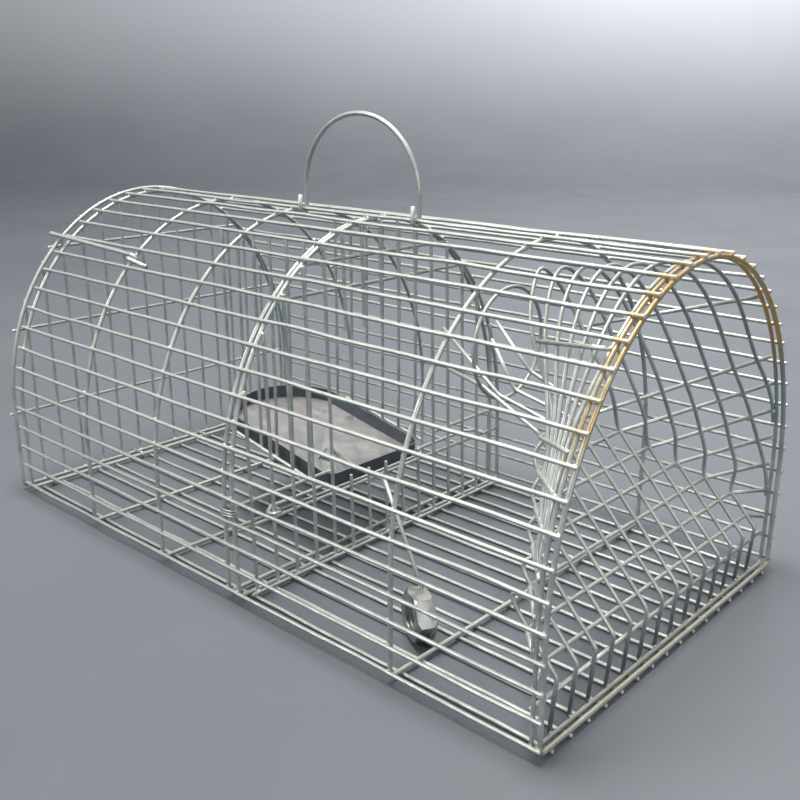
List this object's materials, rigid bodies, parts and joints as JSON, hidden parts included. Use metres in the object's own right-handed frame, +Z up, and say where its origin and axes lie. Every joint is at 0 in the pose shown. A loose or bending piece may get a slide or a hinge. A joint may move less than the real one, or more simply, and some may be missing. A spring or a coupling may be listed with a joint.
{
  "type": "multi-catch live trap",
  "caption": "Arched welded-wire live catch trap with a funnel entrance, a counterweighted tipping treadle, a latched rear door and a wire carry handle.",
  "frame": {"origin": "on the floor under the middle of the rear ring (the ring the door hinges on)", "axes": "+X from the rear door to the funnel entrance, +Y to the side away from the door latch, +Z up"},
  "size_m": [0.4272, 0.2344, 0.2481],
  "materials": {
    "ring_wire": "galvanised round wire, satin",
    "front_ring_wire": "galvanised round wire with a yellow passivated tint",
    "mesh_wire": "galvanised thin wire, satin",
    "tie_wire": "soft galvanised tie wire",
    "handle_wire": "galvanised heavy wire",
    "pan_sheet": "dull galvanised sheet",
    "nut_steel": "zinc plated steel, dull"
  },
  "bodies": {
    "cage": {"rear_ring": "ring_wire", "rib_1": "ring_wire", "rib_2": "ring_wire", "rib_3": "ring_wire", "rib_4": "ring_wire", "front_ring": "front_ring_wire", "shell_stringers": "mesh_wire", "floor_stringers": "mesh_wire", "partition_frame": "ring_wire", "partition_bars": "mesh_wire", "partition_cross_wires": "mesh_wire", "partition_tie": "tie_wire", "near_treadle_guard": "mesh_wire", "far_treadle_guard": "mesh_wire", "treadle_axle": "mesh_wire", "funnel_frame": "mesh_wire", "funnel_ramp_wires": "mesh_wire", "funnel_wrapped_wires": "mesh_wire", "funnel_upper_arches": "mesh_wire", "funnel_cross_wires": "mesh_wire", "funnel_radial_wires": "mesh_wire", "throat_ring": "mesh_wire"},
    "rear_door": {"door_frame": "ring_wire", "door_bars": "mesh_wire", "door_cross_wires": "mesh_wire", "door_hinge_loops": "mesh_wire"},
    "door_latch": {"door_latch": "handle_wire"},
    "carry_handle": {"carry_handle": "handle_wire"},
    "treadle": {"treadle_pan": "pan_sheet", "counterweight_arm": "mesh_wire", "counterweight_nut": "nut_steel"}
  },
  "joints": [
    {"name": "door_hinge", "type": "hinge", "parent": "cage", "child": "rear_door", "pos_m": [0, 0, 0.003], "axis": [0, -1, 0], "range_deg": [0, 90]},
    {"name": "latch_hinge", "type": "hinge", "parent": "cage", "child": "door_latch", "pos_m": [0.078, -0.07143, 0.16083], "axis": [0, 0.7187, 0.6953], "range_deg": [0, 100]},
    {"name": "handle_hinge", "type": "hinge", "parent": "cage", "child": "carry_handle", "pos_m": [0.199, -0.00676, 0.19276], "axis": [1, 0, 0], "range_deg": [-68, 85]},
    {"name": "treadle_hinge", "type": "hinge", "parent": "cage", "child": "treadle", "pos_m": [0.2125, 0, 0.0435], "axis": [0, -1, 0], "range_deg": [0, 32]}
  ]
}
